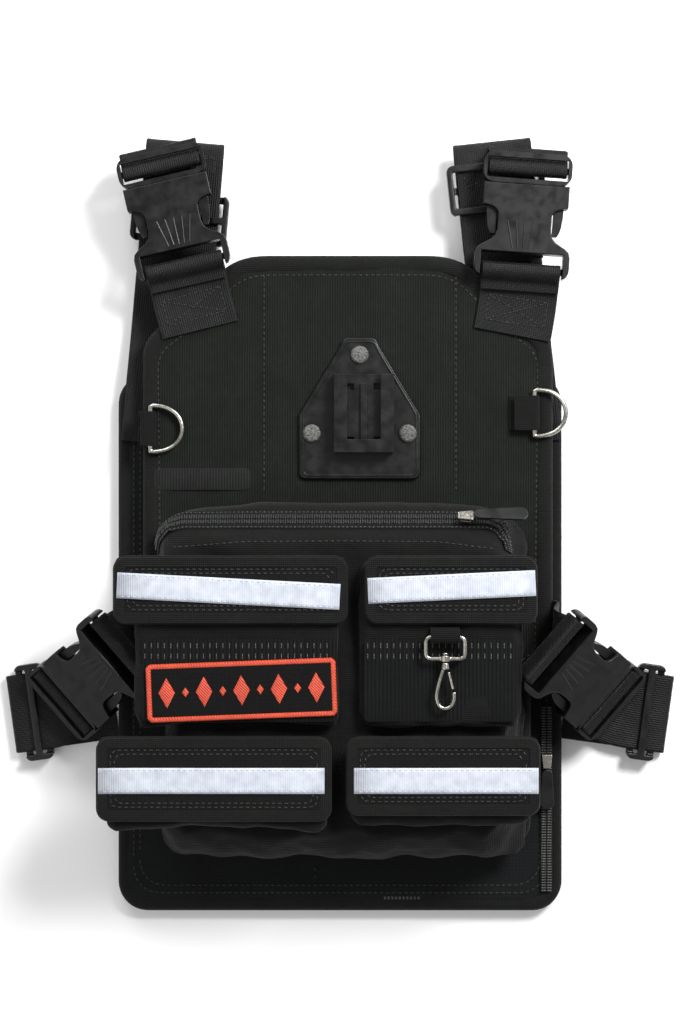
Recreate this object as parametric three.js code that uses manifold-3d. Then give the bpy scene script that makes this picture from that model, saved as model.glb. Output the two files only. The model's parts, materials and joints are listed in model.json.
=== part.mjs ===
// A responder's chest rig, laid flat on its back: a padded back panel, a front panel with a
// radio dock, a zipped pouch with four flapped pockets, and four buckled webbing straps.
// Millimetres. +X is the viewer's right, +Y points to the wearer's head, +Z is away from the
// chest. The origin is the middle of the back panel's resting face.
import * as THREE from 'three';
import { mergeVertices } from 'three/addons/utils/BufferGeometryUtils.js';
import Module from 'manifold-3d';

const wasm = await Module();
wasm.setup();

// ---------- driving dimensions ----------
const GAP = 0.3; // clearance between touching neighbours
const BACK = { width: 284, height: 344, thick: 12, corner: 18 };
const FRONT = { x: 5, halfWidth: 130, top: 247, bottom: -126, low: BACK.thick + 2.2, thick: 11.8 };
const FRONT_TOP = FRONT.low + FRONT.thick;
const POUCH = { low: FRONT_TOP + GAP, ledge: 52, face: 70 };
const POCKET = { low: POUCH.face + GAP, upperTop: 80, lowerTop: 84 };
const FLAP = { thick: 2.8, upperHinge: 57.4, lowerHinge: -53.2 };
const TAPE = { height: 15.8, thick: 0.6 };
const WEB = { width: 50, thick: 1.6 };
const BUCKLE = { halfWidth: 30, mouth: 54, inner: 64, outer: 72, thick: 12 };
const BAR = 2; // half depth of the bars that webbing folds round
const BAR_RISE = 1.6;
const GLIDE = { width: 62, height: 32, keeper: 18, thick: 2.4, bar: 4.5 };
const DOCK = { x: 12.5, y: 147, width: 77, height: 90, plate: 3 };
const RECEIVER = { width: 38, height: 50, floor: 3.5, rail: 7, lip: 3.2, reach: 4.5 };
const HOOK = { x: 64.5, barY: 7.4, barZ: 87.4, wire: 2.8 };
const MAIN_ZIP = { left: -108, right: 100, y: 78.9, z: 62.4, run: 28, halfWidth: 5, coil: 1.8 };
const BACK_ZIP = { x: 132.5, low: -160, high: -40, halfWidth: 4, coil: 1.6 };
const MAIN_SLIDER = { at: 78, length: 9.5, width: 7, high: 5 };
const BACK_SLIDER = { at: -76, length: 9, width: 7, high: 3.6 };
const PULL = { eye: 3.4, grip: 4.6, thick: 1.8, standOff: 3.85 };
const D_RING = { half: 14.6, reach: 21, wire: 1.6, rise: 3.4 };
const SHOULDER_Z = 33.5;
const SIDE_TILT = 36;

// ---------- materials ----------
function finish(colour, roughness, metalness = 0) {
  return new THREE.MeshStandardMaterial({ color: colour, roughness, metalness });
}

const FINISH = {
  fabric: finish(0x1b1d1c, 0.9),
  lining: finish(0x17191b, 0.7),
  webbing: finish(0x161817, 0.85),
  mesh: finish(0x131514, 0.95),
  plastic: finish(0x121313, 0.35),
  rivet: finish(0x8f918d, 0.6),
  steel: finish(0xb9bab6, 0.3, 1),
  tape: finish(0xdfe3ea, 0.45),
  patch: finish(0xe8502d, 0.8),
  zip: finish(0x101111, 0.5),
};

// ---------- solids ----------
// A closed skin through rings of points; each ring turns anticlockwise about the way they stack.
// The sides listed in swapped are split along their other diagonal.
function loft(rings, capFaces, swapped = []) {
  const count = rings[0].length;
  const points = rings.flat();
  const faces = [];
  const last = (rings.length - 1) * count;
  for (let level = 0; level < rings.length - 1; level += 1) {
    for (let i = 0; i < count; i += 1) {
      const a = level * count + i;
      const b = level * count + ((i + 1) % count);
      if (swapped.includes(i)) faces.push(a, b, a + count, b, b + count, a + count);
      else faces.push(a, b, b + count, a, b + count, a + count);
    }
  }
  for (const [a, b, c] of capFaces) {
    faces.push(c, b, a, last + a, last + b, last + c);
  }
  const geometry = new THREE.BufferGeometry();
  geometry.setFromPoints(points);
  geometry.setIndex(faces);
  return geometry;
}

// A padded slab: one outline repeated at several heights, each drawn in by an inset.
function pad(outline, levels) {
  const box = new THREE.Box2().setFromPoints(outline);
  const size = box.getSize(new THREE.Vector2());
  const centre = box.getCenter(new THREE.Vector2());
  const rings = levels.map(([z, inset]) => outline.map((p) => new THREE.Vector3(
    centre.x + (p.x - centre.x) * (1 - (2 * inset) / size.x),
    centre.y + (p.y - centre.y) * (1 - (2 * inset) / size.y),
    z,
  )));
  return loft(rings, THREE.ShapeUtils.triangulateShape(outline, []));
}

function roundedBox(x0, x1, y0, y1, corner, steps = 5) {
  const shape = new THREE.Shape();
  const quarter = Math.PI / 2;
  shape.absarc(x1 - corner, y0 + corner, corner, -quarter, 0);
  shape.absarc(x1 - corner, y1 - corner, corner, 0, quarter);
  shape.absarc(x0 + corner, y1 - corner, corner, quarter, Math.PI);
  shape.absarc(x0 + corner, y0 + corner, corner, Math.PI, 3 * quarter);
  const points = shape.extractPoints(steps).shape;
  if (points[0].distanceTo(points[points.length - 1]) < 1e-6) points.pop();
  return points;
}

function slab(shape, low, high, curveSegments = 8) {
  const geometry = new THREE.ExtrudeGeometry(shape, {
    depth: high - low, bevelEnabled: false, curveSegments,
  });
  return geometry.translate(0, 0, low);
}

// A flat strap that may turn and twist: stations are [position, direction across the strap].
// Its two faces are split alike, so a twist leaves it the same thickness.
function strap(stations, width = WEB.width, thick = WEB.thick) {
  const rings = stations.map(([at, across], i) => {
    const before = stations[Math.max(i - 1, 0)][0];
    const after = stations[Math.min(i + 1, stations.length - 1)][0];
    const along = after.clone().sub(before).normalize();
    const side = across.clone().addScaledVector(along, -across.dot(along)).normalize();
    const up = along.clone().cross(side);
    return [[1, 1], [-1, 1], [-1, -1], [1, -1]].map(([s, u]) => at.clone()
      .addScaledVector(side, (s * width) / 2)
      .addScaledVector(up, (u * thick) / 2));
  });
  const underside = 2;
  return loft(rings, [[0, 1, 2], [0, 2, 3]], [underside]);
}

// Stations on a smooth curve through hand-placed [position, across] pairs.
function smoothStations(pairs, steps) {
  const path = new THREE.CatmullRomCurve3(pairs.map(([at]) => at), false, 'centripetal');
  return Array.from({ length: steps + 1 }, (_, i) => {
    const t = i / steps;
    const place = t * (pairs.length - 1);
    const index = Math.min(Math.floor(place), pairs.length - 2);
    const across = pairs[index][1].clone().lerp(pairs[index + 1][1], place - index).normalize();
    return [path.getPoint(t), across];
  });
}

function wire(path, radius, steps, sides = 8) {
  const section = new THREE.Shape();
  section.absarc(0, 0, radius, 0, Math.PI * 2);
  return new THREE.ExtrudeGeometry(section, {
    steps, extrudePath: path, bevelEnabled: false, curveSegments: sides / 2,
  });
}

function solid(geometry) {
  const bare = new THREE.BufferGeometry();
  bare.setAttribute('position', geometry.getAttribute('position').clone());
  if (geometry.index) bare.setIndex(geometry.index.clone());
  const merged = mergeVertices(bare, 1e-4);
  return new wasm.Manifold(new wasm.Mesh({
    numProp: 3,
    vertProperties: new Float32Array(merged.getAttribute('position').array),
    triVerts: new Uint32Array(merged.index.array),
  }));
}

function geometryOf(manifold) {
  const mesh = manifold.getMesh();
  const geometry = new THREE.BufferGeometry();
  geometry.setAttribute('position', new THREE.BufferAttribute(mesh.vertProperties, 3));
  geometry.setIndex(new THREE.BufferAttribute(mesh.triVerts, 1));
  return geometry;
}

function block(x0, x1, y0, y1, z0, z1) {
  const geometry = new THREE.BoxGeometry(x1 - x0, y1 - y0, z1 - z0);
  return geometry.translate((x0 + x1) / 2, (y0 + y1) / 2, (z0 + z1) / 2);
}

function piece(parent, name, geometry, material) {
  const mesh = new THREE.Mesh(geometry, material);
  mesh.name = name;
  geometry.computeVertexNormals();
  parent.add(mesh);
  return mesh;
}

const vec = (x, y, z) => new THREE.Vector3(x, y, z);

// ---------- panels ----------
function backPanel(rig) {
  const { width, height, thick, corner } = BACK;
  const outline = roundedBox(-width / 2, width / 2, -height / 2, height / 2, corner);
  const edge = 3;
  const levels = [[0, edge], [edge, 0], [thick - edge, 0], [thick, edge]];
  piece(rig, 'back_panel', pad(outline, levels), FINISH.lining);
}

function frontOutline() {
  const { x, halfWidth, top, bottom } = FRONT;
  const neck = 67; // half width of the straight top edge
  const shoulder = 204;
  const side = 184;
  const corner = 12;
  const waist = -10; // the panel is narrower below this height, under the pouch
  const foot = halfWidth - 14;
  const shape = new THREE.Shape();
  shape.moveTo(x - foot + corner, bottom);
  shape.lineTo(x + foot - corner, bottom);
  shape.quadraticCurveTo(x + foot, bottom, x + foot, bottom + corner);
  shape.lineTo(x + foot, waist - 12);
  shape.lineTo(x + halfWidth, waist);
  shape.lineTo(x + halfWidth, side);
  shape.quadraticCurveTo(x + halfWidth, side + 12, x + halfWidth - 14, shoulder);
  shape.lineTo(x + neck + 10, top - 7);
  shape.quadraticCurveTo(x + neck, top, x + neck - 16, top);
  shape.lineTo(x - neck + 16, top);
  shape.quadraticCurveTo(x - neck, top, x - neck - 10, top - 7);
  shape.lineTo(x - halfWidth + 14, shoulder);
  shape.quadraticCurveTo(x - halfWidth, side + 12, x - halfWidth, side);
  shape.lineTo(x - halfWidth, waist);
  shape.lineTo(x - foot, waist - 12);
  shape.lineTo(x - foot, bottom + corner);
  shape.quadraticCurveTo(x - foot, bottom, x - foot + corner, bottom);
  const points = shape.extractPoints(5).shape;
  if (points[0].distanceTo(points[points.length - 1]) < 1e-6) points.pop();
  return points;
}

function frontPanel(rig) {
  const edge = 2.5;
  const levels = [[FRONT.low, edge], [FRONT.low + edge, 0], [FRONT_TOP - edge, 0], [FRONT_TOP, edge]];
  piece(rig, 'front_panel', pad(frontOutline(), levels), FINISH.fabric);
}

// ---------- pouch and pockets ----------
function pouch(rig) {
  // Each level is [height, [left, right, foot, head, corner radius]], from the panel upwards.
  const bulge = 36; // the height where the pouch's foot stands out furthest
  const levels = [
    [POUCH.low, [-118, 128, -138, 84, 14]],
    [bulge, [-115, 116, -140, 95, 18]],
    [POUCH.ledge, [-112, 107, -134, 92, 20]],
    [POUCH.face, [-108, 103, -116, 64, 16]],
  ];
  const rings = levels.map(([z, sides]) => roundedBox(...sides).map((p) => vec(p.x, p.y, z)));
  piece(rig, 'pouch_body', loft(rings, THREE.ShapeUtils.triangulateShape(rings[0], [])),
    FINISH.fabric);
}

function pocket(rig, name, [x0, x1, y0, y1], top) {
  const outline = roundedBox(x0, x1, y0, y1, 8, 4);
  const levels = [[POCKET.low, 3], [POCKET.low + 3, 0], [top - 3, 0], [top, 3]];
  piece(rig, name, pad(outline, levels), FINISH.fabric);
}

// A stiff flap that swings on its upper edge, with its band of reflective tape.
function flap(rig, name, [x0, x1], hinge, drop, low, tilt, tapeSpan, tapeY) {
  const outline = roundedBox(x0, x1, hinge - drop, hinge, 4, 3);
  piece(rig, `flap_${name}`, pad(outline, [[low, 0.8], [low + 1, 0], [low + FLAP.thick, 0.4]]),
    FINISH.fabric);
  const [left, right] = tapeSpan;
  const band = piece(rig, `reflective_tape_${name}`,
    block((left - right) / 2, (right - left) / 2, -TAPE.height / 2, TAPE.height / 2, 0, TAPE.thick),
    FINISH.tape);
  band.position.set((left + right) / 2, tapeY, low + FLAP.thick + GAP);
  band.rotation.z = THREE.MathUtils.degToRad(tilt);
}

function pocketsAndFlaps(rig) {
  const upperLow = POCKET.upperTop + GAP;
  const lowerLow = POCKET.lowerTop + GAP;
  pocket(rig, 'pocket_upper_left', [-128, 3, -50, 56], POCKET.upperTop);
  pocket(rig, 'pocket_upper_right', [12, 112, -50, 56], POCKET.upperTop);
  pocket(rig, 'pocket_lower_left', [-146, -7, -113, -55], POCKET.lowerTop);
  pocket(rig, 'pocket_lower_right', [6, 119, -109, -55], POCKET.lowerTop);
  flap(rig, 'upper_left', [-139, 4.5], FLAP.upperHinge, 42, upperLow, -3, [-137, 0], 35.5);
  flap(rig, 'upper_right', [15.5, 121], FLAP.upperHinge, 42, upperLow, 2.7, [17, 120], 38);
  flap(rig, 'lower_left', [-149, -5.5], FLAP.lowerHinge, 52, lowerLow, 0, [-148, -9.5], -80.5);
  flap(rig, 'lower_right', [4, 122.5], FLAP.lowerHinge, 48.5, lowerLow, 0, [8.5, 121.5], -80.5);
}

function patch(rig) {
  const field = block(-122, -2, -45, 6, 0, 0.8);
  const loop = piece(rig, 'loop_panel', field, FINISH.mesh);
  loop.position.z = POCKET.upperTop + GAP;
  const badge = piece(rig, 'badge_patch', pad(roundedBox(-58, 58, -17.5, 17.5, 2, 3),
    [[0, 0.4], [0.6, 0], [1.8, 0], [2.2, 0.6]]), FINISH.patch);
  badge.position.set(-60.5, -25.5, POCKET.upperTop + 0.8 + 2 * GAP);
  badge.rotation.z = THREE.MathUtils.degToRad(2.2);
}

// ---------- zips ----------
function mainZip(rig) {
  // The zip lies on the slope between the pouch's face and its top ledge.
  const { left, right, y, z, run, halfWidth, coil } = MAIN_ZIP;
  const { at, length, width, high } = MAIN_SLIDER;
  const slope = new THREE.Group();
  slope.position.set(0, y, z);
  slope.rotation.x = -Math.atan2(POUCH.face - POUCH.ledge, run);
  rig.add(slope);
  const track = block(left, right, -halfWidth, halfWidth, -coil / 2, coil / 2);
  piece(slope, 'main_zip_track', track, FINISH.zip);
  const low = coil / 2 + GAP;
  const body = solid(slab(sliderOutline(length, width), 0, high));
  const coilSlot = solid(block(-length / 3, length / 3, -width, width, high * 0.44, high * 0.72));
  const slider = piece(slope, 'main_zip_slider', geometryOf(body.subtract(coilSlot)), FINISH.steel);
  slider.position.set(at, 0, low);
  const tab = puller(slope, 'main_zip_puller', 30);
  tab.position.set(at + length / 2 + PULL.standOff, 0, low + high + GAP);
}

function backZip(rig) {
  const { x, low, high, halfWidth, coil } = BACK_ZIP;
  const floor = BACK.thick + GAP;
  const top = floor + coil + GAP;
  piece(rig, 'back_zip_track', block(x - halfWidth, x + halfWidth, low, high, floor, floor + coil),
    FINISH.zip);
  const { at, length, width } = BACK_SLIDER;
  const slider = piece(rig, 'back_zip_slider',
    slab(sliderOutline(length, width), 0, BACK_SLIDER.high), FINISH.steel);
  slider.position.set(x, at, top);
  slider.rotation.z = Math.PI / 2;
  const tab = puller(rig, 'back_zip_puller', 22);
  tab.position.set(x, at - length / 2 - PULL.standOff, top + BACK_SLIDER.high - PULL.thick / 2);
  tab.rotation.z = -Math.PI / 2;
}

// A slider seen from above: a wide shoulder that narrows to the coil's width.
function sliderOutline(length, width) {
  const tail = width * 0.36;
  const shape = new THREE.Shape();
  shape.moveTo(-length / 2, -tail);
  shape.lineTo(length / 2, -width / 2);
  shape.lineTo(length / 2, width / 2);
  shape.lineTo(-length / 2, tail);
  shape.closePath();
  return shape;
}

// A pull tab with its eye at the local origin, where it swings: an eye, a grip and a round end.
// Its eye stands off the slider by more than its own radius, so it turns past the slider's end.
function puller(parent, name, length) {
  const { eye, grip, thick } = PULL;
  const quarter = Math.PI / 2;
  const shape = new THREE.Shape();
  shape.absarc(0, 0, eye, quarter, -quarter);
  shape.lineTo(length - grip, -grip);
  shape.absarc(length - grip, 0, grip, -quarter, quarter);
  shape.closePath();
  return piece(parent, name, slab(shape, 0, thick, 6), FINISH.plastic);
}

// ---------- dock ----------
function dock(rig) {
  const low = FRONT_TOP + GAP;
  const half = DOCK.width / 2;
  const foot = -DOCK.height / 2;
  const corner = 5;
  const shoulder = foot + 41; // the plate narrows from here up to its head
  const head = 12; // half the width of the head
  const shape = new THREE.Shape();
  shape.moveTo(-half + corner, foot);
  shape.lineTo(half - corner, foot);
  shape.quadraticCurveTo(half, foot, half, foot + corner);
  shape.lineTo(half, shoulder);
  shape.lineTo(head, -foot - corner);
  shape.quadraticCurveTo(head - 1, -foot, head - corner, -foot);
  shape.lineTo(-head + corner, -foot);
  shape.quadraticCurveTo(-head + 1, -foot, -head, -foot - corner);
  shape.lineTo(-half, shoulder);
  shape.lineTo(-half, foot + corner);
  shape.quadraticCurveTo(-half, foot, -half + corner, foot);
  const plate = piece(rig, 'dock_plate', slab(shape, low, low + DOCK.plate, 4), FINISH.plastic);
  const middle = DOCK.y + 3;
  plate.position.set(DOCK.x, middle, 0);
  receiver(rig, low + DOCK.plate + GAP);
  const rivetSpots = [[0, 34], [-30.5, -16], [30.5, -16]]; // from the plate's middle
  const domeProfile = [[0, 0], [5.6, 0], [5.8, 0.8], [4.6, 1.9], [0, 2.4]]; // [radius, height]
  rivetSpots.forEach(([dx, dy], i) => {
    const profile = domeProfile.map(([radius, z]) => new THREE.Vector2(radius, z));
    const dome = new THREE.LatheGeometry(profile, 20).rotateX(Math.PI / 2);
    const rivet = piece(rig, `dock_rivet_${i + 1}`, dome, FINISH.rivet);
    rivet.position.set(DOCK.x + dx, middle + dy, low + DOCK.plate + GAP);
  });
}

// A channel with undercut rails on three sides, open towards the head.
function receiver(rig, low) {
  const { width, height, floor, rail, lip, reach } = RECEIVER;
  const x = width / 2;
  const y = height / 2;
  const top = floor + rail;
  const wall = 4;
  let body = solid(block(-x, x, -y, y, 0, top));
  body = body.subtract(solid(block(-x + wall, x - wall, -y + wall, y + 1, floor, top - lip)));
  body = body.subtract(solid(block(-x + wall + reach, x - wall - reach, -y + wall + reach, y + 1,
    floor, top + 1)));
  const hole = { x: 8.5, y: 17, half: 2 }; // four square holes through the floor
  for (const sx of [-1, 1]) {
    for (const sy of [-1, 1]) {
      const cx = sx * hole.x;
      const cy = sy * hole.y;
      body = body.subtract(solid(block(cx - hole.half, cx + hole.half, cy - hole.half,
        cy + hole.half, -1, floor + 1)));
    }
  }
  const rib = { half: 2.2, foot: -17, head: 19, high: 2 }; // the raised rib along the middle
  body = body.add(solid(block(-rib.half, rib.half, rib.foot, rib.head, floor - 1,
    floor + rib.high)));
  const part = piece(rig, 'dock_receiver', geometryOf(body), FINISH.plastic);
  part.position.set(DOCK.x + 2.5, DOCK.y - 0.5, low);
}

// ---------- D-rings ----------
function dRing(rig, side, x, y, tabSpan) {
  const { half, reach } = D_RING;
  const z = FRONT_TOP + D_RING.rise;
  const path = new THREE.CurvePath();
  path.add(new THREE.LineCurve3(vec(0, -half, 0), vec(0, half, 0)));
  path.add(new THREE.CubicBezierCurve3(vec(0, half, 0), vec(reach * 1.28, half * 1.12, 0),
    vec(reach * 1.28, -half * 1.12, 0), vec(0, -half, 0)));
  const ring = piece(rig, `d_ring_${side}`, closedWire(path, D_RING.wire, 36), FINISH.steel);
  ring.position.set(x, y, z);
  const tab = strap(tabStations(tabSpan, 2.6), 22, 1.4);
  piece(rig, `d_ring_tab_${side}`, tab, FINISH.webbing).position.set(x, y, z);
}

// A ring of wire with no ends, for loops with corners or bends.
function closedWire(path, radius, steps, sides = 8) {
  const rings = [];
  const spots = Array.from({ length: steps }, (_, i) => path.getPoint(i / steps));
  spots.forEach((spot, i) => {
    const before = spots[(i + steps - 1) % steps];
    const after = spots[(i + 1) % steps];
    const along = after.clone().sub(before).normalize();
    const side = along.clone().cross(vec(0, 0, 1));
    rings.push(Array.from({ length: sides }, (_, k) => {
      const turn = (k / sides) * Math.PI * 2;
      return spot.clone().addScaledVector(side, Math.cos(turn) * radius)
        .add(vec(0, 0, Math.sin(turn) * radius));
    }));
  });
  const faces = [];
  for (let i = 0; i < steps; i += 1) {
    for (let k = 0; k < sides; k += 1) {
      const a = i * sides + k;
      const b = i * sides + ((k + 1) % sides);
      const c = ((i + 1) % steps) * sides + k;
      const d = ((i + 1) % steps) * sides + ((k + 1) % sides);
      faces.push(a, d, b, a, c, d);
    }
  }
  const geometry = new THREE.BufferGeometry();
  geometry.setFromPoints(rings.flat());
  geometry.setIndex(faces);
  return geometry;
}

// A webbing tab folded round a bar at the local origin; its two layers lie towards reach.
function tabStations(reach, bend) {
  const way = Math.sign(reach);
  const across = vec(0, 1, 0);
  const stations = [[vec(reach, 0, -bend), across], [vec(way * 2, 0, -bend), across]];
  for (let i = 1; i < 8; i += 1) {
    const turn = -Math.PI / 2 - (way * Math.PI * i) / 8;
    stations.push([vec(Math.cos(turn) * bend, 0, Math.sin(turn) * bend), across]);
  }
  stations.push([vec(way * 2, 0, bend), across], [vec(reach * 0.8, 0, bend), across]);
  return stations;
}

// ---------- snap hook ----------
function snapHook(rig) {
  const hook = new THREE.Group();
  hook.position.set(HOOK.x, HOOK.barY, HOOK.barZ);
  rig.add(hook);
  const tab = piece(hook, 'hook_tab', strap(hookTabStations(), 18, 1.4), FINISH.webbing);
  tab.rotation.z = Math.PI / 2;
  const wireRadius = HOOK.wire / 2;
  const halfX = 12;
  const drop = -13.2;
  const boss = vec(0, drop, 0);
  let ring = solid(closedWire(rectanglePath(halfX, 0, drop, 3.4), wireRadius, 44));
  const sleeve = new THREE.CylinderGeometry(3, 3, 4, 16).translate(boss.x, boss.y, 0);
  const bore = new THREE.CylinderGeometry(1.6, 1.6, 12, 16).translate(boss.x, boss.y, 0);
  ring = ring.add(solid(sleeve)).subtract(solid(bore));
  piece(hook, 'hook_loop', geometryOf(ring), FINISH.steel);
  snapBody(hook, drop);
}

function hookTabStations() {
  const across = vec(0, 1, 0);
  const bend = 3;
  const floor = POCKET.upperTop + GAP + 1 - HOOK.barZ;
  const stations = [[vec(5.6, 0, floor), across], [vec(4, 0, floor + 1.2), across],
    [vec(2.2, 0, -bend), across]];
  for (let i = 1; i < 8; i += 1) {
    const turn = -Math.PI / 2 - (Math.PI * i) / 8;
    stations.push([vec(Math.cos(turn) * bend, 0, Math.sin(turn) * bend), across]);
  }
  stations.push([vec(2, 0, bend), across], [vec(5, 0, bend - 0.6), across]);
  return stations;
}

// A rectangle with round corners, as a closed path in the XY plane.
function rectanglePath(halfX, high, low, corner) {
  const path = new THREE.CurvePath();
  const spots = [[halfX, low], [halfX, high], [-halfX, high], [-halfX, low]];
  spots.forEach(([x, y], i) => {
    const [nx, ny] = spots[(i + 1) % 4];
    const [px, py] = spots[(i + 3) % 4];
    const inTo = vec(Math.sign(x - px), Math.sign(y - py), 0);
    const outOf = vec(Math.sign(nx - x), Math.sign(ny - y), 0);
    const here = vec(x, y, 0);
    const start = here.clone().addScaledVector(inTo, -corner);
    const end = here.clone().addScaledVector(outOf, corner);
    path.add(new THREE.QuadraticBezierCurve3(start, here, end));
    path.add(new THREE.LineCurve3(end, vec(nx, ny, 0).addScaledVector(outOf, -corner)));
  });
  return path;
}

function snapBody(hook, drop) {
  const neck = drop - 6;
  const post = new THREE.CylinderGeometry(1.2, 1.2, 9, 12).translate(0, drop - 1, 0);
  const head = new THREE.CylinderGeometry(2.1, 2.1, 1.4, 12).translate(0, drop + 3, 0);
  const collar = new THREE.CylinderGeometry(2.3, 2.8, 4, 12).translate(0, neck + 1.4, 0);
  const bend = new THREE.CatmullRomCurve3([
    vec(-0.6, neck + 1, 0), vec(-2.8, neck - 5, 0), vec(-4.6, neck - 12, 0),
    vec(-5.4, neck - 18, 0), vec(-3.6, neck - 23, 0), vec(0, neck - 24.6, 0),
    vec(3.6, neck - 23, 0), vec(5.4, neck - 18.4, 0), vec(5.1, neck - 14.6, 0),
  ]);
  const body = solid(post).add(solid(head)).add(solid(collar)).add(solid(wire(bend, 1.3, 24)));
  piece(hook, 'hook_body', geometryOf(body), FINISH.steel);
  const gate = new THREE.LineCurve3(vec(2.1, neck - 2.2, 0), vec(4.7, neck - 12.7, 0));
  piece(hook, 'hook_gate', wire(gate, 0.9, 2), FINISH.steel);
}

// ---------- buckles ----------
// Both halves share a frame: +Y is the way the plug pulls out, and the socket's bar is at 0.
function socketGeometry() {
  const { halfWidth, mouth, thick } = BUCKLE;
  const foot = -5; // the end beyond the webbing's bar
  const waist = 17; // half the width between the two finger windows
  const cheek = 27; // half the width at the mouth
  const window = [25, 34, 40]; // where a window is deepest, from and to, and where it ends
  const web = 26; // half the width of the webbing's slot
  const shape = new THREE.Shape();
  shape.moveTo(-halfWidth + 6, foot);
  shape.lineTo(halfWidth - 6, foot);
  shape.quadraticCurveTo(halfWidth, foot, halfWidth, 2);
  shape.lineTo(halfWidth, 9);
  shape.bezierCurveTo(halfWidth, 17, waist, 15, waist, window[0]);
  shape.lineTo(waist, window[1]);
  shape.quadraticCurveTo(waist, window[2] - 1, cheek, window[2]);
  shape.lineTo(cheek, mouth);
  shape.lineTo(-cheek, mouth);
  shape.lineTo(-cheek, window[2]);
  shape.quadraticCurveTo(-waist, window[2] - 1, -waist, window[1]);
  shape.lineTo(-waist, window[0]);
  shape.bezierCurveTo(-waist, 15, -halfWidth, 17, -halfWidth, 9);
  shape.lineTo(-halfWidth, 2);
  shape.quadraticCurveTo(-halfWidth, foot, -halfWidth + 6, foot);
  const body = solid(slab(shape, -thick / 2, thick / 2, 6));
  const cavity = solid(block(-24.6, 24.6, 33, mouth + 1, -3.4, 3.4));
  const slot = solid(block(-web, web, BAR, 10.5, -thick, thick));
  const above = solid(block(-web, web, foot - 1, BAR + 1, BAR_RISE, thick));
  const below = solid(block(-web, web, foot - 1, BAR + 1, -thick, -BAR_RISE));
  const behind = solid(block(-web, web, foot - 1, -BAR, -thick, thick));
  return geometryOf(body.subtract(cavity).subtract(slot).subtract(above).subtract(below)
    .subtract(behind));
}

function plugGeometry() {
  const { mouth, inner, outer } = BUCKLE;
  const start = mouth + GAP;
  const frame = new THREE.Shape(roundedBox(-28, 28, start, outer + 2, 7, 5));
  let body = solid(slab(frame, -5, 5));
  const web = WEB.width / 2 + 0.8;
  const window = [start + 3, outer - 1.6];
  body = body.subtract(solid(block(-web, web, window[0], inner - BAR, -9, 9)));
  body = body.subtract(solid(block(-web, web, inner + BAR, window[1], -9, 9)));
  body = body.subtract(solid(block(-web, web, ...window, BAR_RISE, 9)));
  body = body.subtract(solid(block(-web, web, ...window, -9, -BAR_RISE)));
  body = body.subtract(solid(block(-web, web, window[1] - 1, outer + 9, -9, 2)));
  const tongue = { half: 7, tip: 40 }; // the stiff guide between the two arms
  const arms = { inner: 18, outer: 24.3, tip: 22, bend: 40, thick: 2.6 };
  body = body.add(solid(block(-tongue.half, tongue.half, tongue.tip, start + 1,
    -arms.thick, arms.thick)));
  for (const side of [-1, 1]) {
    const arm = new THREE.Shape();
    arm.moveTo(side * arms.inner, start + 1);
    arm.lineTo(side * (arms.outer - 0.3), start + 1);
    arm.lineTo(side * arms.outer, arms.bend);
    arm.quadraticCurveTo(side * arms.outer, arms.tip + 4, side * (arms.inner + 3), arms.tip);
    arm.lineTo(side * arms.inner, arms.tip);
    arm.closePath();
    body = body.add(solid(slab(arm, -arms.thick, arms.thick, 4)));
  }
  return geometryOf(body);
}

// A strap adjuster: two low bars and a raised middle bar between side rails.
function glideGeometry(height) {
  const { width, thick, bar } = GLIDE;
  const frame = new THREE.Shape(roundedBox(-width / 2, width / 2, -height / 2, height / 2, 4, 4));
  const inside = width / 2 - 3.6;
  const slotHalf = WEB.thick / 2 + 0.6;
  let body = solid(slab(frame, -slotHalf - thick, slotHalf + thick));
  body = body.subtract(solid(block(-inside, inside, -height, height, -slotHalf, slotHalf)));
  body = body.subtract(solid(block(-inside, inside, -height, -bar / 2, slotHalf - 0.1, 9)));
  body = body.subtract(solid(block(-inside, inside, bar / 2, height, slotHalf - 0.1, 9)));
  body = body.subtract(solid(block(-inside, inside, -height / 2 + bar, height / 2 - bar,
    -9, -slotHalf + 0.1)));
  return geometryOf(body);
}

// Wrap of webbing over a bar at (y, 0), with the far end led off under it.
function wrapPath(y, way) {
  return [
    [y + way * 13, -2.4], [y + way * 7.6, -1.2], [y + way * 4.6, 2.2], [y + way * 2.4, 3.6],
    [y, 3.9], [y - way * 2.6, 3.2], [y - way * 3.7, 0], [y - way * 2.8, -3.2], [y, -4.6],
    [y + way * 5, -5.2], [y + way * 13, -5.6],
  ];
}

function inFrame(frame, y, z) {
  return vec(0, y, z).applyMatrix4(frame.matrixWorld);
}

function acrossOf(frame) {
  return vec(1, 0, 0).transformDirection(frame.matrixWorld);
}

function buckle(rig, name, at, turn, tilt) {
  const frame = new THREE.Group();
  frame.position.copy(at);
  frame.rotation.order = 'ZXY';
  frame.rotation.z = THREE.MathUtils.degToRad(turn);
  frame.rotation.x = THREE.MathUtils.degToRad(-tilt);
  rig.add(frame);
  rig.updateMatrixWorld(true);
  piece(frame, `socket_${name}`, socketGeometry(), FINISH.plastic);
  piece(frame, `plug_${name}`, plugGeometry(), FINISH.plastic);
  return frame;
}

function glide(rig, name, height, at, turn, flip = 0) {
  const part = piece(rig, `tri_glide_${name}`, glideGeometry(height), FINISH.plastic);
  part.position.copy(at);
  part.rotation.order = 'ZXY';
  part.rotation.z = THREE.MathUtils.degToRad(turn);
  part.rotation.y = THREE.MathUtils.degToRad(flip);
}

// Webbing through [position, across] pairs, as one solid.
function ribbon(pairs, steps) {
  return solid(strap(smoothStations(pairs, steps)));
}

function folded(frame, path) {
  const across = acrossOf(frame);
  return path.map(([y, z]) => [inFrame(frame, y, z), across]);
}

function heading(degrees) {
  const turn = THREE.MathUtils.degToRad(degrees);
  return vec(Math.cos(turn), Math.sin(turn), 0);
}

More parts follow.
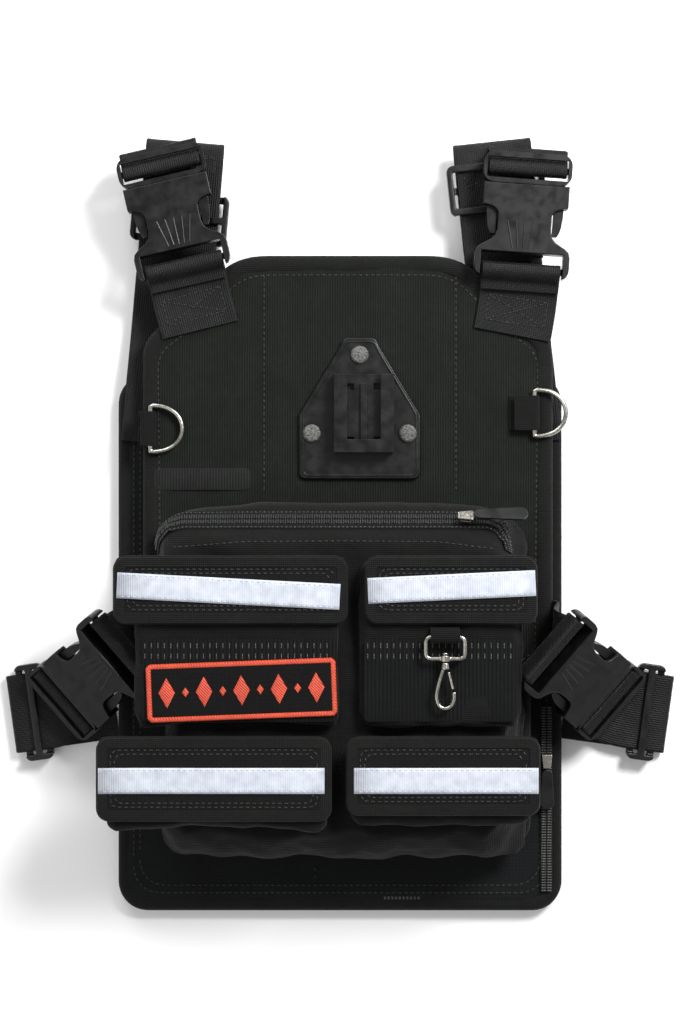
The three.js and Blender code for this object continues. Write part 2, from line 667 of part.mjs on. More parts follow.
// A shoulder strap runs up from the back panel along a leaning line, folds forward at the top
// and ends as a free tail; the short loop from the plug is sewn to it under the fold.
function shoulder(rig, name, options) {
  const { at, turn, low, high, tailLength, anchorEnd } = options;
  const frame = buckle(rig, `shoulder_${name}`, at, turn, 0);
  const panelTop = FRONT_TOP + GAP + WEB.thick / 2;
  const wrap = folded(frame, wrapPath(0, -1));
  const sewn = anchorEnd.map(([x, y, angle]) => [vec(x, y, panelTop + 0.1), heading(angle)]);
  piece(rig, `anchor_strap_shoulder_${name}`, geometryOf(ribbon([...wrap, ...sewn], 34)),
    FINISH.webbing);

  const rise = high.clone().sub(low).normalize();
  const across = vec(rise.y, -rise.x, 0);
  const onLine = (y, z) => [low.clone().addScaledVector(rise, (y - low.y) / rise.y).setZ(z), across];
  const between = BACK.thick + GAP + WEB.thick / 2;
  const back = [onLine(128, between), onLine(168, between), onLine(178, 12.2), onLine(200, 10)];
  const fold = [onLine(280, 10), onLine(high.y - 9, 10), onLine(high.y - 3, 11),
    onLine(high.y - 1, 14.5), onLine(high.y - 3, 18), onLine(high.y - 9, 19)];
  const tail = [onLine(high.y - tailLength * 0.6, 19), onLine(high.y - tailLength, 19)];
  const main = ribbon([...back, ...fold, ...tail], 46);
  const sewnEnd = inFrame(frame, BUCKLE.outer + 7, 0).setZ(18.6);
  const loop = ribbon([...folded(frame, wrapPath(BUCKLE.inner, 1).slice(0, -1)),
    [inFrame(frame, BUCKLE.outer + 3, -8), acrossOf(frame)], [sewnEnd, acrossOf(frame)]], 28);
  piece(rig, `strap_shoulder_${name}`, geometryOf(main.add(loop)), FINISH.webbing);
  return { onLine, lean: THREE.MathUtils.radToDeg(Math.atan2(-rise.x, rise.y)) };
}

function shoulders(rig) {
  const left = shoulder(rig, 'left', {
    at: vec(-98.9, 240.6, SHOULDER_Z),
    turn: 13,
    low: vec(-112, 171, 0),
    high: vec(-99, 322, 0),
    tailLength: 48,
    anchorEnd: [[-94.5, 221, 13], [-91, 208, 17], [-89, 200, 20]],
  });
  glide(rig, 'shoulder_left', GLIDE.height, left.onLine(273, 10)[0], left.lean);
  const right = shoulder(rig, 'right', {
    at: vec(114.6, 237.4, SHOULDER_Z),
    turn: -4,
    low: vec(113, 171, 0),
    high: vec(97, 322, 0),
    tailLength: 78,
    anchorEnd: [[113, 218, -6], [111, 205, -10], [109.5, 197, -14]],
  });
  glide(rig, 'shoulder_right', GLIDE.height, right.onLine(292, 19)[0], right.lean, 180);
}

// A side strap drops from the socket beside the pouch to the floor, folds and runs back.
function sideStrap(rig, name, way, x) {
  const frame = buckle(rig, name, vec(x, -2, 60), way * -131, SIDE_TILT);
  const edge = FRONT.x + way * (FRONT.halfWidth + GAP + WEB.thick / 2 + 0.3);
  const upright = vec(0, -way, 0);
  const wrap = [[9.2, -11], [5.6, -5], [4, 0], [2.6, 3.1], [0, 3.8], [-2.8, 2.9], [-3.6, 0],
    [-3.2, -4.5], [-1.2, -9]];
  piece(rig, `anchor_strap_${name}`, geometryOf(ribbon([...folded(frame, wrap),
    [vec(x - way * 2, -1, 44), acrossOf(frame)], [vec(edge + way * 1.5, 2, 34), upright],
    [vec(edge, 3, 24), upright], [vec(edge, 3, 15), upright]], 40)), FINISH.webbing);

  const slope = 0.14;
  const across = vec(-slope, -way, 0).normalize();
  const start = BACK.width / 2 + 4;
  const onFloor = (reach, z) => [vec(way * reach, -37.6 - (reach - start) * slope, z), across];
  const tip = 212;
  piece(rig, `strap_${name}`, geometryOf(ribbon([...folded(frame, wrapPath(BUCKLE.inner, 1)),
    onFloor(tip - 25, 8.6), onFloor(tip - 15, 8.4), onFloor(tip - 5, 8.4), onFloor(tip - 1.4, 7.2),
    onFloor(tip - 0.4, 4.8), onFloor(tip - 1.4, 2.4), onFloor(tip - 6, 1.3), onFloor(180, 1.2),
    onFloor(start, 1.2)], 64)),
  FINISH.webbing);
  glide(rig, name, GLIDE.keeper, onFloor(tip - 15, 8.4)[0], way * -98);
}

function sides(rig) {
  sideStrap(rig, 'side_left', -1, -136);
  sideStrap(rig, 'side_right', 1, 132);
}

const group = new THREE.Group();
backPanel(group);
frontPanel(group);
pouch(group);
pocketsAndFlaps(group);
patch(group);
mainZip(group);
backZip(group);
dock(group);
dRing(group, 'left', -120.5, 137, -8);
dRing(group, 'right', 123.5, 147, -16);
snapHook(group);
shoulders(group);
sides(group);

export default group;
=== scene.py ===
# Looks for a responder's chest rig lying on its back: padded cloth, webbing, buckles and trim,
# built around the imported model. Sizes are in millimetres and turned into metres by mm().
import json
import math

import bmesh
import bpy
from mathutils import Matrix, Vector, noise
from mathutils.bvhtree import BVHTree

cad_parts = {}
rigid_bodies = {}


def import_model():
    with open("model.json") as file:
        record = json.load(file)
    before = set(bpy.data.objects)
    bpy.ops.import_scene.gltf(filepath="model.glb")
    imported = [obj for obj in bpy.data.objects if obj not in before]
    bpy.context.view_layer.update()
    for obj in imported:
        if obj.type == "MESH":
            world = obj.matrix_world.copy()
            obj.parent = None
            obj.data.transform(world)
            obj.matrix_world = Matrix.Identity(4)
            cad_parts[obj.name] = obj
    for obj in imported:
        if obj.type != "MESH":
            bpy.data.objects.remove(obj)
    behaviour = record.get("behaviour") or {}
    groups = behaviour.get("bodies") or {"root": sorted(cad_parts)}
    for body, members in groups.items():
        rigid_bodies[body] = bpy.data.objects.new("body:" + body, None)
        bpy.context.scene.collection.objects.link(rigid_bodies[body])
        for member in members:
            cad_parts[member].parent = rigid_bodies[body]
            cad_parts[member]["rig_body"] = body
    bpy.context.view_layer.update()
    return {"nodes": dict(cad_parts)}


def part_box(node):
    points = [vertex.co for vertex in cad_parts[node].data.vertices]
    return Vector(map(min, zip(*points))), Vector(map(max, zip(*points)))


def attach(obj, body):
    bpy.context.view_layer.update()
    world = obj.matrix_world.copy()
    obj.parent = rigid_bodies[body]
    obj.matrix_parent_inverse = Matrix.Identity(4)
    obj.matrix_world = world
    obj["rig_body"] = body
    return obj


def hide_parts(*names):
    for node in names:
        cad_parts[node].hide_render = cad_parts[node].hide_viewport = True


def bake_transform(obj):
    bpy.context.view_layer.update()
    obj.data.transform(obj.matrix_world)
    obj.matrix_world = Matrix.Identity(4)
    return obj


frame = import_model()

RIG = "rig"
UP = Vector((0, 0, 1))
WEB_WIDTH = 50
WEB_THICK = 1.6
BIND = 8.5  # how far a binding tape reaches in from an edge
RIPPLE = 1.9  # how far a flap's cloth rises
PLUG_BAR = 64  # where a plug's webbing bar is, from its socket's bar
PLUG_END = 72
GAP = 0.3  # clearance between sewn webbing and what it is sewn to
PANEL_TOP = 26  # the height of the front panel's face
BACK_TOP = 12  # the height of the back panel's face
BACK_HALF = 142  # half the back panel's width
FRONT_MIDDLE = 5  # the front panel's middle, across
FRONT_HALF = 130  # half the front panel's width
ABOVE = 0.3  # a height in metres that is clear of the whole rig
CLOTH_STEPS = 16  # how long each stuffed piece is simulated
TAPE_INSET = 3  # how far a reflective band's stitches stop short of its ends


def mm(*values):
    return Vector(values) * 0.001


# ---------- materials ----------
class Look:
    """A procedural material: a Principled shader, with short ways to add nodes to it."""

    def __init__(self, name, roughness, where="Object", **sockets):
        self.material = bpy.data.materials.new(name)
        self.material.use_nodes = True
        tree = self.material.node_tree
        self.nodes = tree.nodes
        self.links = tree.links
        self.shader = tree.nodes["Principled BSDF"]
        self.shader.inputs["Roughness"].default_value = roughness
        for socket, value in sockets.items():
            self.shader.inputs[socket.replace("_", " ")].default_value = value
        self.place = self.add("ShaderNodeTexCoord").outputs[where]
        self.normal = None

    def add(self, kind, inputs=None, **settings):
        node = self.nodes.new(kind)
        for key, value in settings.items():
            setattr(node, key, value)
        for key, value in (inputs or {}).items():
            if isinstance(value, bpy.types.NodeSocket):
                self.links.new(value, node.inputs[key])
            else:
                node.inputs[key].default_value = value
        return node

    def noise(self, size, detail=3.0):
        inputs = {"Vector": self.place, "Scale": 1 / size, "Detail": detail}
        return self.add("ShaderNodeTexNoise", inputs).outputs["Fac"]

    def wave(self, period, along, distortion=0.0):
        inputs = {"Vector": self.place, "Scale": math.pi / 10 / period, "Distortion": distortion,
                  "Detail Scale": 0.4}
        node = self.add("ShaderNodeTexWave", inputs, bands_direction=along)
        return node.outputs["Fac"]

    def join(self, operation, a, b):
        return self.add("ShaderNodeMath", {0: a, 1: b}, operation=operation).outputs[0]

    def spread(self, value, low, high):
        inputs = {"Value": value, "From Min": 0.3, "From Max": 0.7, "To Min": low, "To Max": high}
        return self.add("ShaderNodeMapRange", inputs).outputs[0]

    def colour(self, factor, dark, light):
        mix = self.add("ShaderNodeMix", {0: factor, 6: (*dark, 1), 7: (*light, 1)},
                       data_type="RGBA")
        self.links.new(mix.outputs[2], self.shader.inputs["Base Color"])

    def rough(self, value, low, high):
        self.links.new(self.spread(value, low, high), self.shader.inputs["Roughness"])

    def relief(self, height, depth, strength=1.0):
        inputs = {"Height": height, "Distance": depth, "Strength": strength}
        if self.normal:
            inputs["Normal"] = self.normal
        self.normal = self.add("ShaderNodeBump", inputs).outputs[0]
        self.links.new(self.normal, self.shader.inputs["Normal"])


def cloth_look(name, dark, light, period, across="X", ribbed=False, roughness=0.82, sheen=0.05):
    """Woven nylon: crossing yarns, or ribs one way, over slow changes of shade."""
    look = Look(name, roughness, Sheen_Weight=sheen, Sheen_Roughness=0.45,
                Specular_IOR_Level=0.12)
    warp = look.wave(period, across, 0.6)
    other = "Y" if across == "X" else "X"
    weft = look.wave(period * (0.45 if ribbed else 1), other, 0.6)
    yarn = look.join("ADD", look.join("MULTIPLY", warp, 0.8 if ribbed else 0.5),
                     look.join("MULTIPLY", weft, 0.2 if ribbed else 0.5))
    patchy = look.noise(0.022, 4)
    worn = look.noise(0.0035, 5)
    shade = look.join("MULTIPLY", look.join("ADD", yarn, look.join("MULTIPLY", worn, 0.6)), patchy)
    look.colour(shade, dark, light)
    look.rough(patchy, roughness - 0.1, min(roughness + 0.1, 1))
    look.relief(yarn, 0.00035, 0.8)
    look.relief(worn, 0.0006, 0.35)
    look.relief(patchy, 0.0015, 0.3)
    return look.material


def web_look():
    """Webbing: cords along its length with a fine chevron, from the strap's own across and along."""
    look = Look("webbing", 0.6, "UV", Sheen_Weight=0.04, Sheen_Roughness=0.35,
                Specular_IOR_Level=0.2)
    cords = look.wave(0.0014, "X")
    picks = look.wave(0.001, "Y", 0.3)
    twill = look.wave(0.0019, "DIAGONAL")
    weave = look.join("ADD", look.join("MULTIPLY", cords, 0.55),
                      look.join("MULTIPLY", look.join("ADD", picks, twill), 0.225))
    patchy = look.noise(0.012, 3)
    look.colour(look.join("MULTIPLY", weave, patchy), (0.0012, 0.0014, 0.0013),
                (0.0115, 0.013, 0.0118))
    look.rough(patchy, 0.48, 0.72)
    look.relief(weave, 0.0004, 0.9)
    return look.material


def tape_look():
    """Silver reflective tape, finely ribbed, with scuffs."""
    look = Look("reflective_tape", 0.5, Sheen_Weight=0.2)
    ribs = look.wave(0.0014, "X")
    scuff = look.noise(0.006, 6)
    look.colour(look.join("MULTIPLY", scuff, look.join("ADD", look.join("MULTIPLY", ribs, 0.3), 0.9)),
                (0.3, 0.325, 0.38), (0.6, 0.635, 0.7))
    look.rough(scuff, 0.4, 0.65)
    look.relief(ribs, 0.0002, 0.5)
    look.relief(look.noise(0.012, 3), 0.0012, 0.3)
    return look.material


def plastic_look():
    """Satin moulded plastic with fine grain, and edges lighter in colour: partly scuffed wear, partly
    a painted highlight on the edges.
    """
    look = Look("black_plastic", 0.36, Coat_Weight=0.06, Coat_Roughness=0.2,
                Specular_IOR_Level=0.32)
    grain = look.noise(0.0006, 3)
    scuff = look.noise(0.007, 7)
    # Sharp edges are painted lighter, broken up by scuff noise: partly real wear, partly a painted
    # highlight along the edges.
    edge = look.add("ShaderNodeNewGeometry").outputs["Pointiness"]
    worn = look.join("MULTIPLY", look.spread(edge, 0.0, 1.0), scuff)
    look.colour(worn, (0.001, 0.0011, 0.0011), (0.008, 0.0084, 0.0084))
    look.rough(scuff, 0.27, 0.5)
    look.relief(grain, 0.00008, 0.5)
    return look.material


def metal_look(name, colour, dull, low, high):
    look = Look(name, 0.2, Metallic=1.0)
    tarnish = look.noise(0.004, 6)
    look.colour(tarnish, dull, colour)
    look.rough(look.noise(0.0016, 5), low, high)
    look.relief(look.noise(0.0009, 3), 0.00005, 0.4)
    return look.material


def thread_look(name, dark, light, period=0.0009):
    """Twisted thread: short diagonal turns with a silky shine."""
    look = Look(name, 0.5, Sheen_Weight=0.1, Sheen_Roughness=0.3, Specular_IOR_Level=0.35)
    turns = look.wave(period, "DIAGONAL", 0.5)
    fade = look.noise(0.009, 4)
    look.colour(look.join("MULTIPLY", look.join("ADD", turns, 0.6), fade), dark, light)
    look.relief(turns, 0.00025, 0.9)
    return look.material


def rivet_look():
    look = Look("rivet", 0.65, Metallic=0.2)
    speckle = look.noise(0.0011, 4)
    look.colour(look.spread(speckle, 0.0, 1.0), (0.012, 0.0125, 0.012), (0.16, 0.165, 0.155))
    look.relief(speckle, 0.0003, 0.8)
    return look.material


LOOKS = {
    "nylon": cloth_look("nylon", (0.001, 0.0012, 0.001), (0.0095, 0.0105, 0.0092), 0.0012),
    "ribbed": cloth_look("ribbed_nylon", (0.001, 0.0013, 0.001), (0.015, 0.0175, 0.014), 0.0016,
                         ribbed=True),
    "binding": cloth_look("binding_tape", (0.0012, 0.0014, 0.0012), (0.014, 0.0155, 0.0138), 0.0012),
    "lining": cloth_look("lining", (0.0014, 0.0017, 0.0019), (0.0085, 0.0095, 0.0105), 0.0009,
                         roughness=0.62, sheen=0.04),
    "loop": cloth_look("loop_field", (0.0007, 0.0008, 0.0008), (0.009, 0.01, 0.0095), 0.0024,
                       ribbed=True, roughness=0.95, sheen=0.08),
    "twill": cloth_look("patch_twill", (0.001, 0.001, 0.001), (0.0075, 0.0075, 0.0075), 0.0008),
    "webbing": web_look(),
    "webbing_flat": cloth_look("flat_webbing", (0.0014, 0.0016, 0.0015), (0.02, 0.022, 0.02),
                               0.0018, ribbed=True, roughness=0.65),
    "tape": tape_look(),
    "plastic": plastic_look(),
    "nickel": metal_look("nickel", (0.56, 0.55, 0.5), (0.24, 0.225, 0.19), 0.18, 0.38),
    "coil": thread_look("zip_coil", (0.003, 0.003, 0.0033), (0.035, 0.036, 0.038), 0.0006),
    "orange": thread_look("orange_thread", (0.3, 0.022, 0.006), (0.62, 0.06, 0.018)),
    "seam": thread_look("black_thread", (0.0015, 0.0017, 0.0015), (0.026, 0.029, 0.026)),
    "pale": thread_look("grey_thread", (0.015, 0.016, 0.015), (0.1, 0.106, 0.098)),
    "rivet": rivet_look(),
}


# ---------- mesh helpers ----------
def show(name, mesh, look, body, smooth=40):
    """Puts a mesh in the scene as a piece that rides on a body."""
    piece = bpy.data.objects.new(name, mesh)
    bpy.context.scene.collection.objects.link(piece)
    mesh.materials.clear()
    mesh.materials.append(LOOKS[look])
    if smooth is not None:
        mesh.shade_smooth()
        mesh.set_sharp_from_angle(angle=math.radians(smooth))
    if body:
        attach(piece, body)
    return piece


def mesh_from(name, points, faces, uvs=None):
    mesh = bpy.data.meshes.new(name)
    mesh.from_pydata(points, [], faces)
    if uvs:
        layer = mesh.uv_layers.new(name="UVMap")
        for loop in mesh.loops:
            layer.data[loop.index].uv = uvs[loop.vertex_index]
    mesh.validate()
    return mesh


def cad_mesh(node):
    """The node's mesh with its shared corners joined."""
    mesh = frame["nodes"][node].data.copy()
    work = bmesh.new()
    work.from_mesh(mesh)
    bmesh.ops.remove_doubles(work, verts=work.verts, dist=2e-6)
    work.to_mesh(mesh)
    work.free()
    return mesh


def evaluated(piece):
    """The piece's mesh with its modifiers in it, which are then taken off."""
    bpy.context.view_layer.update()
    found = bpy.data.meshes.new_from_object(
        piece.evaluated_get(bpy.context.evaluated_depsgraph_get()))
    piece.modifiers.clear()
    return found


def modified(name, mesh, *modifiers):
    """A mesh put through modifiers, each a (kind, settings) pair."""
    piece = bpy.data.objects.new(name, mesh)
    bpy.context.scene.collection.objects.link(piece)
    for kind, settings in modifiers:
        modifier = piece.modifiers.new(kind.lower(), kind)
        for key, value in settings.items():
            setattr(modifier, key, value)
    done = evaluated(piece)
    bpy.data.objects.remove(piece)
    return done


def body_of(node):
    return frame["nodes"][node]["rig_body"]


def bevelled(node, look, width=0.6, segments=3):
    """A hard part with its flat faces cleaned up and its edges rounded."""
    mesh = cad_mesh(node)
    work = bmesh.new()
    work.from_mesh(mesh)
    bmesh.ops.dissolve_limit(work, angle_limit=math.radians(1.5), verts=work.verts,
                             edges=work.edges)
    work.to_mesh(mesh)
    work.free()
    mesh.shade_smooth()
    mesh = modified(node, mesh, ("BEVEL", {"width": width * 0.001, "segments": segments,
                                           "limit_method": "ANGLE", "angle_limit": 0.6,
                                           "use_clamp_overlap": True}),
                    ("WEIGHTED_NORMAL", {"weight": 100, "mode": "FACE_AREA"}))
    piece = show(node + "_shell", mesh, look, body_of(node), None)
    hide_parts(node)


def polished(node, look, voxel=0.4, passes=6):
    """A wire or cast part remeshed finely and relaxed, so that it has no facets."""
    mesh = modified(node, cad_mesh(node),
                    ("REMESH", {"mode": "VOXEL", "voxel_size": voxel * 0.001}),
                    ("SMOOTH", {"factor": 0.5, "iterations": passes}))
    piece = show(node + "_fine", mesh, look, body_of(node), 180)
    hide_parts(node)


# ---------- padded pieces ----------
def swollen(node, voxel, cap, pressure=4.0, calm=None):
    """The node's solid as stuffed cloth. No point moves further than cap, nor outside the solid's
    own height; calm(point) is the share of the movement that a point keeps."""
    low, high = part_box(node)
    mesh = modified(node, cad_mesh(node), ("REMESH", {"mode": "VOXEL",
                                                      "voxel_size": voxel * 0.001}))
    rest = [v.co.copy() for v in mesh.vertices]
    pad = bpy.data.objects.new(node + "_cloth", mesh)
    bpy.context.scene.collection.objects.link(pad)
    cloth = pad.modifiers.new("cloth", "CLOTH")
    cloth.settings.quality = 5
    cloth.settings.mass = 0.3
    cloth.settings.use_pressure = True
    cloth.settings.uniform_pressure_force = pressure
    cloth.settings.effector_weights.gravity = 0
    cloth.collision_settings.use_collision = False
    for step in range(1, CLOTH_STEPS + 1):
        bpy.context.scene.frame_set(step)
    done = evaluated(pad)
    bpy.data.objects.remove(pad)
    bpy.context.scene.frame_set(1)
    for vertex, start in zip(done.vertices, rest):
        move = vertex.co - start
        if move.length > cap * 0.001:
            move *= cap * 0.001 / move.length
        if calm:
            move *= calm(start)
        vertex.co = start + move
        vertex.co.z = min(max(vertex.co.z, low.z), high.z)
    return done


def wrinkle(mesh, size, depth, stretch=(1, 1, 1), keep=None):
    """Soft creases: moves points along their normals by a slow, stretched noise."""
    low = min(v.co.z for v in mesh.vertices)
    for vertex in mesh.vertices:
        at = Vector(vertex.co[i] / (size * 0.001) * stretch[i] for i in range(3))
        share = keep(vertex.co) if keep else 1
        offset = vertex.normal * noise.fractal(at, 1.0, 2.0, 3) * depth * 0.001 * share
        vertex.co += offset
        vertex.co.z = max(vertex.co.z, low)


def groove(mesh, start, end, width=2.2, depth=1.6):
    """Draws a sewn channel into the upper side, along a line given in millimetres."""
    a = mm(*start)
    run = mm(*end) - a
    for vertex in mesh.vertices:
        if vertex.normal.z < 0.2:
            continue
        flat = Vector((vertex.co.x, vertex.co.y)) - a
        t = min(max(flat.dot(run) / run.length_squared, 0), 1)
        away = (flat - run * t).length / (width * 0.001)
        vertex.co.z -= depth * 0.001 * math.exp(-away * away)


def pad_piece(node, look, mesh, name=None):
    mesh = modified(node, mesh, ("SUBSURF", {"levels": 1, "render_levels": 1}))
    piece = show(name or node + "_pad", mesh, look, body_of(node), 180)
    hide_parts(node)
    return piece


# ---------- sweeps ----------
def sweep(name, stations, profile, closed=False):
    """A skin along stations of (point, side, up), through a closed profile of (side, up) points
    in millimetres, with the cloth's across and along as its UV map."""
    points = []
    uvs = []
    along = 0
    around = len(profile)
    widths = [0]
    for i in range(1, around):
        widths.append(widths[-1] + math.dist(profile[i], profile[i - 1]) * 0.001)
    for i, (at, side, up) in enumerate(stations):
        along += (at - stations[i - 1][0]).length if i else 0
        for k, (a, b) in enumerate(profile):
            points.append(at + side * a * 0.001 + up * b * 0.001)
            uvs.append((widths[k], along))
    faces = []
    count = len(stations)
    for i in range(count if closed else count - 1):
        j = (i + 1) % count
        for k in range(around):
            n = (k + 1) % around
            faces.append((i * around + k, i * around + n, j * around + n, j * around + k))
    if not closed:
        faces.append(tuple(reversed(range(around))))
        faces.append(tuple((count - 1) * around + k for k in range(around)))
    mesh = mesh_from(name, points, faces, uvs)
    work = bmesh.new()
    work.from_mesh(mesh)
    bmesh.ops.recalc_face_normals(work, faces=work.faces)
    work.to_mesh(mesh)
    work.free()
    return mesh


def resample(points, step, closed=True):
    """Points an even step apart along a line through the given ones."""
    line = points + points[:1] if closed else points
    lengths = [0]
    for a, b in zip(line, line[1:]):
        lengths.append(lengths[-1] + (b - a).length)
    count = max(int(lengths[-1] / (step * 0.001)), 2)
    found = []
    k = 0
    for i in range(count if closed else count + 1):
        want = lengths[-1] * i / count
        while k < len(line) - 2 and lengths[k + 1] < want:
            k += 1
        t = (want - lengths[k]) / max(lengths[k + 1] - lengths[k], 1e-9)
        found.append(line[k].lerp(line[k + 1], t))
    return found


def rim(node):
    """The widest outline of a padded slab, in order round its middle, at mid height."""
    low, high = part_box(node)
    centre = (low + high) / 2
    reach = {}
    for vertex in cad_mesh(node).vertices:
        if abs(vertex.co.z - low.z) > 1e-4 and abs(vertex.co.z - high.z) > 1e-4:
            spot = (round(vertex.co.x, 5), round(vertex.co.y, 5))
            reach[spot] = math.atan2(spot[1] - centre.y, spot[0] - centre.x)
    order = sorted(reach, key=reach.get)
    return [Vector((x, y, centre.z)) for x, y in order]


def outward(points):
    """Stations round a closed flat line: each point with its outward side."""
    stations = []
    for i, point in enumerate(points):
        along = points[(i + 1) % len(points)] - points[i - 1]
        side = along.cross(UP).normalized()
        stations.append((point, side, UP))
    return stations


def rounded(x0, x1, y0, y1, radius, z=0):
    """Points round a rectangle with round corners, in metres from millimetres."""
    centres = [(x1 - radius, y1 - radius, 0), (x0 + radius, y1 - radius, 90),
               (x0 + radius, y0 + radius, 180), (x1 - radius, y0 + radius, 270)]
    points = []
    for x, y, start in centres:
        for step in range(7):
            turn = math.radians(start + step * 15)
            points.append(mm(x + radius * math.cos(turn), y + radius * math.sin(turn), z))
    return points


def binding(name, outline, half, body, reach=BIND, thick=1.1):
    """Grosgrain tape folded over a panel's edge, with half the panel's thickness given."""
    inner = half
    outer = half + thick
    profile = [(-reach, inner - 1.2), (-reach, outer - 0.9), (-reach + 0.8, outer - 0.2),
               (-3.2, outer), (-1.2, outer - 0.7), (0.4, outer - 2.6),
               (0.9, 0), (0.4, -outer + 2.6), (-1.2, -outer + 0.7), (-3.2, -outer),
               (-reach + 0.8, -outer + 0.2), (-reach, -outer + 0.9), (-reach, -inner + 1.2),
               (-2, 0)]
    stations = outward(resample(outline, 3))
    mesh = sweep(name, stations, profile, closed=True)
    return show(name, mesh, "binding", body)


# ---------- stitching ----------
def surface_of(*pieces):
    points = []
    faces = []
    for piece in pieces:
        start = len(points)
        points += [v.co.copy() for v in piece.data.vertices]
        faces += [tuple(start + k for k in face.vertices) for face in piece.data.polygons]
    return BVHTree.FromPolygons(points, faces)


def laid(tree, points, lift=0.25):
    """The points dropped on to a surface from above, a little clear of it."""
    found = []
    for point in points:
        hit, normal, _, _ = tree.ray_cast(Vector((point.x, point.y, ABOVE)), -UP)
        if hit is not None:
            found.append(hit + normal * lift * 0.001)
    return found


def stitches(name, lines, look, body, length=2.6, gap=1.3, thick=0.42):
    """Rows of thread dashes along lines of points, as one mesh."""
    points = []
    faces = []
    sides = 6
    rings = [(0, 0.25), (0.2, 0.9), (0.5, 1.0), (0.8, 0.9), (1, 0.25)]
    for line in lines:
        if len(line) < 2:
            continue
        spots = resample(line, length + gap, closed=False)
        for a, b in zip(spots, spots[1:]):
            along = (b - a).normalized()
            tip = a + along * length * 0.001
            side = along.cross(UP).normalized()
            rise = side.cross(along)
            start = len(points)
            for t, size in rings:
                middle = a.lerp(tip, t)
                for k in range(sides):
                    turn = math.tau * k / sides
                    points.append(middle + (side * math.cos(turn) + rise * math.sin(turn) * 0.7)
                                  * thick * size * 0.001)
            for r in range(len(rings) - 1):
                for k in range(sides):
                    n = (k + 1) % sides
                    base = start + r * sides
                    faces.append((base + k, base + n, base + sides + n, base + sides + k))
            faces.append(tuple(start + k for k in reversed(range(sides))))
            last = start + (len(rings) - 1) * sides
            faces.append(tuple(last + k for k in range(sides)))
    mesh = mesh_from(name, points, faces)
    return show(name, mesh, look, body, 180)


def straight(x0, y0, x1, y1, step=4):
    return resample([mm(x0, y0, 0), mm(x1, y1, 0)], step, closed=False)


# ---------- slabs of cloth ----------
def cloth_slab(name, x, y, z, shape=None, step=3, corner=3):
    """A flat piece of cloth between two heights, with its corners eased and its surface shaped.
    shape(x, y) is the rise of the surface in millimetres."""
    across = max(int((x[1] - x[0]) / step), 2)
    up = max(int((y[1] - y[0]) / step), 2)
    points = []
    for top in (0, 1):
        for j in range(up + 1):
            for i in range(across + 1):
                px = x[0] + (x[1] - x[0]) * i / across
                py = y[0] + (y[1] - y[0]) * j / up
                edge = min(px - x[0], x[1] - px, y[1] - py, py - y[0])
                dx = min(px - x[0], x[1] - px)
                dy = min(py - y[0], y[1] - py)
                if dx < corner and dy < corner:
                    pull = (1 - dx / corner) * (1 - dy / corner) * corner * 0.3
                    px += pull if px - x[0] < corner else -pull
                    py += pull if py - y[0] < corner else -pull
                rise = shape(px, py) if shape else 0
                soft = 0.35 * (z[1] - z[0]) * math.exp(-edge / 1.2)
                height = z[1] - soft if top else z[0] + soft
                points.append(mm(px, py, height + rise))
    row = across + 1
    layer = row * (up + 1)
    faces = []
    for j in range(up):
        for i in range(across):
            a = j * row + i
            faces.append((a, a + row, a + row + 1, a + 1))
            faces.append((layer + a, layer + a + 1, layer + a + row + 1, layer + a + row))
    border = list(range(row))
    border += [j * row + across for j in range(1, up + 1)]
    border += [up * row + i for i in reversed(range(across))]
    border += [j * row for j in reversed(range(1, up))]
    for a, b in zip(border, border[1:] + border[:1]):
        faces.append((a, b, layer + b, layer + a))
    return mesh_from(name, points, faces)


# ---------- panels ----------
def back_panel():
    node = "back_panel"
    low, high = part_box(node)
    mesh = swollen(node, 5, 2.5, 3)
    wrinkle(mesh, 60, 0.7)
    piece = pad_piece(node, "lining", mesh)
    half = (high.z - low.z) * 500
    binding("back_panel_binding", rim(node), half - 1.2, RIG)
    tree = surface_of(piece)
    lines = []
    for inset in (14, 20):
        ring = [p + (Vector((0, 0, p.z)) - p).normalized() * inset * 0.001 for p in rim(node)]
        lines.append(laid(tree, resample(ring, 5)))
    lines.append(laid(tree, straight(-16, -144, -16, -154)))
    stitches("back_panel_stitching", lines, "seam", RIG)
    bar = [laid(tree, straight(28, y, 52, y, 3)) for y in (-163.5, -164.5)]
    stitches("back_panel_bar_tack", bar, "pale", RIG, 1.6, 0.7)


def front_panel():
    node = "front_panel"
    low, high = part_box(node)
    mesh = swollen(node, 5, 2, 3)
    seams = [-50.6, 71.7]
    for x in seams:
        groove(mesh, (x, 95), (x, 240), 2.4, 1.4)
    wrinkle(mesh, 45, 0.8, (1, 0.5, 1))
    piece = pad_piece(node, "ribbed", mesh)
    half = (high.z - low.z) * 500
    binding("front_panel_binding", rim(node), half - 1.0, RIG, 9.5, 1.4)
    tree = surface_of(piece)
    centre = (low + high) / 2
    ring = [p + (Vector((centre.x, centre.y, p.z)) - p).normalized() * 0.0125 for p in rim(node)]
    lines = [laid(tree, resample(ring, 4))]
    for x in seams:
        lines.append(laid(tree, straight(x + 2.2, 98, x + 2.2, 236)))
    stitches("front_panel_stitching", lines, "seam", RIG)
    top = high.z * 1000
    band = cloth_slab("front_panel_band", (-119, -57), (98, 112), (top - 0.6, top + 0.9))
    show("front_panel_band", band, "webbing_flat", RIG)


# ---------- pouch ----------
ZIP_LINE = [(-116, 60), (-113.5, 69), (-107, 76), (-98, 78.6), (-60, 78.9), (0, 78.9),
            (60, 78.9), (92, 78.6), (99, 75.5), (103.5, 68), (105, 59)]


ZIP_SPOTS = [(p.x * 1000, p.y * 1000)
             for p in resample([mm(x, y, 0) for x, y in ZIP_LINE], 4, closed=False)]


def near_zip(point):
    """0 within 6 mm of the zip, rising to 1 at 16 mm from it."""
    away = min(math.dist((point.x * 1000, point.y * 1000), spot) for spot in ZIP_SPOTS)
    return min(max((away - 6) / 10, 0), 1)


